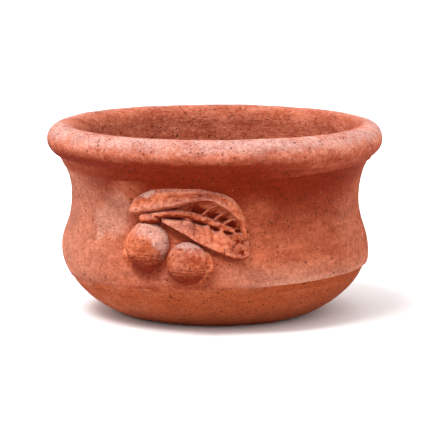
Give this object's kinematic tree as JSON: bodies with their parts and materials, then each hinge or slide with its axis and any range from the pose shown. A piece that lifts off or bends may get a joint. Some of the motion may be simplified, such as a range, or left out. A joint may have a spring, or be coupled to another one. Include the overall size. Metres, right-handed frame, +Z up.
{
  "type": "terracotta bowl planter",
  "caption": "Low round terracotta planter bowl with a rolled rim, a waisted wall, a flat foot with a drain hole, and an applied leaf-and-fruit relief on one side.",
  "frame": {"origin": "on the foot plane, in the middle of the drain hole, on the pot's axis", "axes": "+Z up along the pot's axis; the relief faces -Y and +X is to its right"},
  "size_m": [0.3, 0.3031, 0.1705],
  "materials": {
    "rim_clay": "unglazed fired terracotta, dry matt, paler bloom on the crest",
    "wall_clay": "unglazed fired terracotta, dry matt, fine wheel lines and grog",
    "bowl_clay": "unglazed fired terracotta, dry matt, redder and coarser",
    "relief_clay": "unglazed fired terracotta, hand-smoothed with scratches and bloom"
  },
  "bodies": {
    "root": {"base_slab": "bowl_clay", "lower_bowl": "bowl_clay", "upper_wall": "wall_clay", "neck_band": "wall_clay", "rim_coil": "rim_clay", "leaf_blade": "relief_clay", "leaf_margin": "relief_clay", "leaf_midrib": "relief_clay", "leaf_veins": "relief_clay", "twig": "relief_clay", "fruit_left": "relief_clay", "fruit_right": "relief_clay", "fruit_left_bead": "relief_clay", "fruit_right_bead": "relief_clay"}
  },
  "joints": []
}
